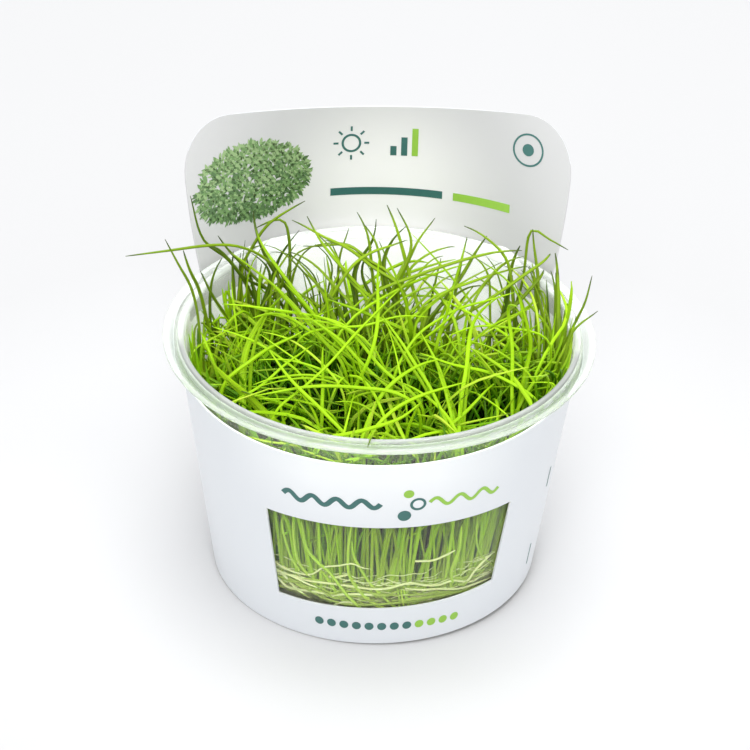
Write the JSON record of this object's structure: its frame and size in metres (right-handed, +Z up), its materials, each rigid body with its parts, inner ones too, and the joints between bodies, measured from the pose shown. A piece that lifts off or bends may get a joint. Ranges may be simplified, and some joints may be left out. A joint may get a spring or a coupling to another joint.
{
  "type": "tissue culture small spikerush",
  "caption": "Clear tapered culture cup packed with small spikerush, in a white wrap-round label sleeve with a front window and a tall back card.",
  "frame": {"origin": "middle of the cup's flat base, on the surface that it stands on", "axes": "+Z up; -Y is the front with the sleeve's window, and the card stands at +Y"},
  "size_m": [0.1094, 0.1047, 0.0917],
  "materials": {
    "clear_plastic": "clear, glossy",
    "white_label": "coated, satin",
    "gel": "cloudy, wet",
    "roots": "matte, wet",
    "culms": "satin, living"
  },
  "bodies": {
    "root": {"cup": "clear_plastic", "label_sleeve": "white_label", "nutrient_gel": "gel", "root_mat": "roots", "culm_tuft_01": "culms", "culm_tuft_02": "culms", "culm_tuft_03": "culms", "culm_tuft_04": "culms", "culm_tuft_05": "culms", "culm_tuft_06": "culms", "culm_tuft_07": "culms", "culm_tuft_08": "culms", "culm_tuft_09": "culms", "culm_tuft_10": "culms", "culm_tuft_11": "culms", "culm_tuft_12": "culms", "culm_tuft_13": "culms", "culm_tuft_14": "culms", "culm_tuft_15": "culms", "culm_tuft_16": "culms", "culm_tuft_17": "culms", "culm_tuft_18": "culms", "culm_tuft_19": "culms", "culm_tuft_20": "culms", "culm_tuft_21": "culms", "culm_tuft_22": "culms", "culm_tuft_23": "culms", "culm_tuft_24": "culms", "culm_tuft_25": "culms", "culm_tuft_26": "culms", "culm_tuft_27": "culms", "culm_tuft_28": "culms", "culm_tuft_29": "culms", "culm_tuft_30": "culms", "culm_tuft_31": "culms", "culm_tuft_32": "culms", "culm_tuft_33": "culms", "culm_tuft_34": "culms", "culm_tuft_35": "culms", "culm_tuft_36": "culms", "culm_tuft_37": "culms", "culm_tuft_38": "culms", "culm_tuft_39": "culms", "culm_tuft_40": "culms", "stray_culm_far_left": "culms", "stray_culm_left": "culms", "stray_culm_back_left": "culms", "stray_culm_kinked": "culms", "stray_culm_right": "culms", "stray_culm_far_right": "culms", "stray_culm_front": "culms"}
  },
  "joints": []
}
